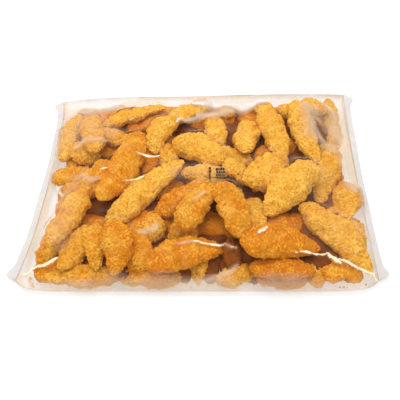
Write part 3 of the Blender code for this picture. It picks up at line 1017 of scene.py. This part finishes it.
def film_mesh(sheet, name):
    """A closed shell: the top sheet, sides that turn under at the rim, and a flat bottom."""
    u, v, x, y, film, haze, painted_glint = sheet
    places = [np.stack([x, y, film], axis=-1).reshape(-1, 3)]
    rim = rim_loop(np.arange(film.size).reshape(film.shape))
    rim_places = places[0][rim]
    from_middle = 2 * np.abs(u.flat[rim] - 0.5)
    pull_x = -np.sign(u.flat[rim] - 0.5) * SEAL_INSET * from_middle**CORNER_POWER
    inset = np.where(v.flat[rim] < 0.5, FRONT_INSET, -BACK_INSET)
    pull_y = inset * (2 * np.abs(v.flat[rim] - 0.5)) ** CORNER_POWER
    loops = [rim]
    for share in SIDE_STEPS:
        loops.append(sum(len(part) for part in places) + np.arange(len(rim)))
        sunk = rim_places + np.stack([pull_x * share, pull_y * share, 0 * pull_x], axis=-1)
        sunk[:, 2] = rim_places[:, 2] * (1 - share) ** SIDE_CURVE + SHEET_LIFT
        places.append(sunk)
    sides = np.stack(loops)
    sides = np.concatenate([sides, sides[:, :1]], axis=1)
    top = grid_faces(np.arange(film.size).reshape(film.shape))
    faces = top.tolist() + grid_faces(sides)[:, ::-1].tolist() + [loops[-1][::-1].tolist()]
    places = np.concatenate(places)
    mesh = bpy.data.meshes.new(name)
    mesh.from_pydata((places * MM).tolist(), [], faces)
    mesh.shade_smooth()
    for label, field, side in (("haze", haze, SIDE_HAZE), ("painted_glint", painted_glint, 0)):
        layer = mesh.attributes.new(label, "FLOAT", "POINT")
        fade = [np.full(len(rim), side * (1 - share)) for share in SIDE_STEPS]
        layer.data.foreach_set("value", np.concatenate([field.ravel(), *fade]))
    return mesh


def film_material():
    """Clear thin plastic: mostly see-through, milky in places, with a glossy skin and painted
    highlights along its folds.
    """
    material, tree = new_material("clear_film")
    place = add_node(tree, "ShaderNodeTexCoord", output="Object")
    haze = add_node(tree, "ShaderNodeAttribute", {"attribute_name": "haze"}, output="Fac")
    painted_glint = add_node(tree, "ShaderNodeAttribute", {"attribute_name": "painted_glint"}, output="Fac")
    cloud = noise(tree, place, 0.035, 3.0)
    edge_on = add_node(tree, "ShaderNodeLayerWeight", {}, {"Blend": 0.5}, "Facing")
    streak = noise(tree, place, 0.0035, 3.0)
    # Painted highlight: along the folds the milk layer takes the highlight colour, broken into
    # streaks.
    bright = (painted_glint * 1.5 - streak * 0.9).ease(0.05, 0.6)
    milky = 0.008 + haze * (0.35 + 1.3 * cloud) + edge_on**5 * 0.5
    milky = milky.at_least(bright).at_most(0.93)
    milk_colour = (haze - 0.6).ease(0.0, 0.12).choose(FILM_MILK, RIM_MILK)
    milk_colour = bright.choose(milk_colour, FILM_PAINTED_GLINT)
    crinkle = noise(tree, place, 0.006, 3.0)
    bump = add_node(
        tree, "ShaderNodeBump", {}, {"Strength": 0.3, "Distance": 0.001, "Height": crinkle}
    )
    see_through = add_node(tree, "ShaderNodeBsdfTransparent", {}, {"Color": FILM_CLEAR})
    milk = add_node(
        tree,
        "ShaderNodeBsdfPrincipled",
        {},
        {"Base Color": milk_colour, "Roughness": 0.5, "Specular IOR Level": 0.2, "Normal": bump},
    )
    gloss = add_node(
        tree,
        "ShaderNodeBsdfPrincipled",
        {},
        {"Base Color": (1, 1, 1, 1), "Metallic": 1.0, "Roughness": 0.16, "Normal": bump},
    )
    body = add_node(tree, "ShaderNodeMixShader", {}, (milky, see_through, milk))
    shine = add_node(tree, "ShaderNodeFresnel", {}, {"IOR": 1.4, "Normal": bump})
    skin = add_node(tree, "ShaderNodeMixShader", {}, ((shine * 0.15).at_most(0.3), body, gloss))
    end_material(tree, skin)
    return material


sheet = film_sheet(heap)
clear_film = film_material()
film = add_object("film_bag", film_mesh(sheet, "film_bag"))
film.data.materials.append(clear_film)
dress(film)

# The end seals: both sheets of the film welded flat in a crimped strip across each end, with
# the strip's corners pulled out a little as small ears.
SEAL_WIDTH, SEAL_THICK = 8, 0.5
FRONT_DROOP, BACK_DROOP = 0.8, 0.95  # height of a seal's free edge, as a share of the bag's
SEAL_WAVE, SEAL_WAVES = 0.7, 19
EAR_REACH = 5  # mm that the ears stand out past the strip
EAR_PLACE, EAR_SPREAD = 0.03, 0.022  # from the strip's ends and how broad, as shares of its length
SEAL_END = 0.02  # share of its length over which the strip's ends are rounded
SEAL_HAZE = 0.74
CRIMP_PITCH, CRIMP_HEIGHT = 1.6, 0.22
SEAL_CELLS = (26, 200)


def plate(name, x, y, z, thick, haze):
    """A closed thin plate over a grid of places in mm, with a haze attribute all over."""
    rows, columns = x.shape
    count = rows * columns
    upper = np.stack([x, y, z + thick / 2], axis=-1).reshape(-1, 3)
    lower = np.stack([x, y, z - thick / 2], axis=-1).reshape(-1, 3)
    index = np.arange(count).reshape(rows, columns)
    cells = grid_faces(index)
    edge = rim_loop(index)
    after = np.roll(edge, -1)
    walls = np.stack([edge, edge + count, after + count, after], axis=-1)
    faces = np.concatenate([cells, cells[:, ::-1] + count, walls])
    mesh = bpy.data.meshes.new(name)
    mesh.from_pydata((np.concatenate([upper, lower]) * MM).tolist(), [], faces.tolist())
    layer = mesh.attributes.new("haze", "FLOAT", "POINT")
    layer.data.foreach_set("value", np.full(2 * count, haze))
    mesh.attributes.new("painted_glint", "FLOAT", "POINT")
    return add_object(name, mesh)


def seal(name, u, outward):
    v, share = np.meshgrid(*(np.linspace(0, 1, cells + 1) for cells in SEAL_CELLS[::-1]))
    x, y = bag_plan(u, v)
    from_end = np.minimum(v, 1 - v)
    ear = np.exp(-(((from_end - EAR_PLACE) / EAR_SPREAD) ** 2))
    reach = SEAL_WIDTH * (0.15 + 0.85 * smooth(from_end / SEAL_END)) + EAR_REACH * ear
    high = rim_height(np.full_like(v, u), v)
    wave = SEAL_WAVE * np.sin(SEAL_WAVES * v + u)
    crimp = CRIMP_HEIGHT * np.sin(2 * np.pi * share * SEAL_WIDTH / CRIMP_PITCH)
    droop = FRONT_DROOP + (BACK_DROOP - FRONT_DROOP) * v**3
    z = high + share * ((droop - 1) * high + wave) + crimp * np.minimum(1, 4 * share)
    x = x + outward * share * reach
    x, y, z = (grid[:, ::-outward] for grid in (x, y, z))
    strip = plate(name, x, y, z, SEAL_THICK, SEAL_HAZE)
    strip.data.materials.append(clear_film)
    strip.data.shade_smooth()
    dress(strip)


seal("left_seal", 0, -1)
seal("right_seal", 1, 1)

# The printed mark: rows of short dark dashes of ink on the film near the bag's middle, which
# follow its surface a hair above it.
MARK_CORNER, MARK_SIZE = (10, -31), (20, 30)  # mm
MARK_GUTTER = (4, 7)  # mm from its left side, where it is blank
MARK_ROWS, MARK_GAP, MARK_STROKE = 6, 0.5, 0.74
DASH_LENGTH = (1.4, 3.0)  # mm
PRINTED_SHARE = 0.92  # the rest are left out
MARK_SEED = 7
INK = (0.035, 0.010, 0.003, 1)
INK_LIFT, INK_THICK = 0.25, 0.1  # mm, of a dash's upper side over the film, and of the dash
INK_GRAIN = 0.002
DASH_FACES = ((0, 1, 2, 3), (7, 6, 5, 4), (0, 4, 5, 1), (1, 5, 6, 2), (2, 6, 7, 3), (3, 7, 4, 0))


def film_height(x, y):
    """The height in mm of the film over places in the plan."""
    film_x, film_y, film_z = sheet[2:5]
    nearest = [np.argmin((film_x - a) ** 2 + (film_y - b) ** 2) for a, b in zip(x.flat, y.flat)]
    return film_z.flat[nearest].reshape(x.shape)


def ink_material():
    material, tree = new_material("mark_ink")
    place = add_node(tree, "ShaderNodeTexCoord", output="Object")
    rough = 0.7 + 0.2 * noise(tree, place, INK_GRAIN)
    values = {"Base Color": INK, "Roughness": rough}
    end_material(tree, add_node(tree, "ShaderNodeBsdfPrincipled", {}, values))
    return material


def printed_mark():
    """One mesh with a small thin plate for each dash."""
    rng = np.random.default_rng(MARK_SEED)
    dashes = []
    pitch = MARK_SIZE[1] / MARK_ROWS
    for row in range(MARK_ROWS):
        start = 0.0
        while start < MARK_SIZE[0]:
            length = rng.uniform(*DASH_LENGTH)
            in_gutter = start + length > MARK_GUTTER[0] and start < MARK_GUTTER[1]
            if not in_gutter and rng.random() < PRINTED_SHARE:
                x = MARK_CORNER[0] + start + np.array([0, length])
                y = MARK_CORNER[1] + row * pitch + np.array([0, pitch * MARK_STROKE])
                dashes.append(np.meshgrid(x, y))
            start += length + MARK_GAP
    places, faces = [], []
    for x, y in dashes:
        first = len(places)
        for lift in (INK_LIFT, INK_LIFT - INK_THICK):
            corners = np.stack([x, y, film_height(x, y) + lift], axis=-1)
            places += (corners[[0, 0, 1, 1], [0, 1, 1, 0]] * MM).tolist()
        faces += [[first + corner for corner in face] for face in DASH_FACES]
    mesh = bpy.data.meshes.new("printed_mark")
    mesh.from_pydata(places, [], faces)
    mesh.materials.append(ink_material())
    return add_object("printed_mark", mesh)


dress(printed_mark())
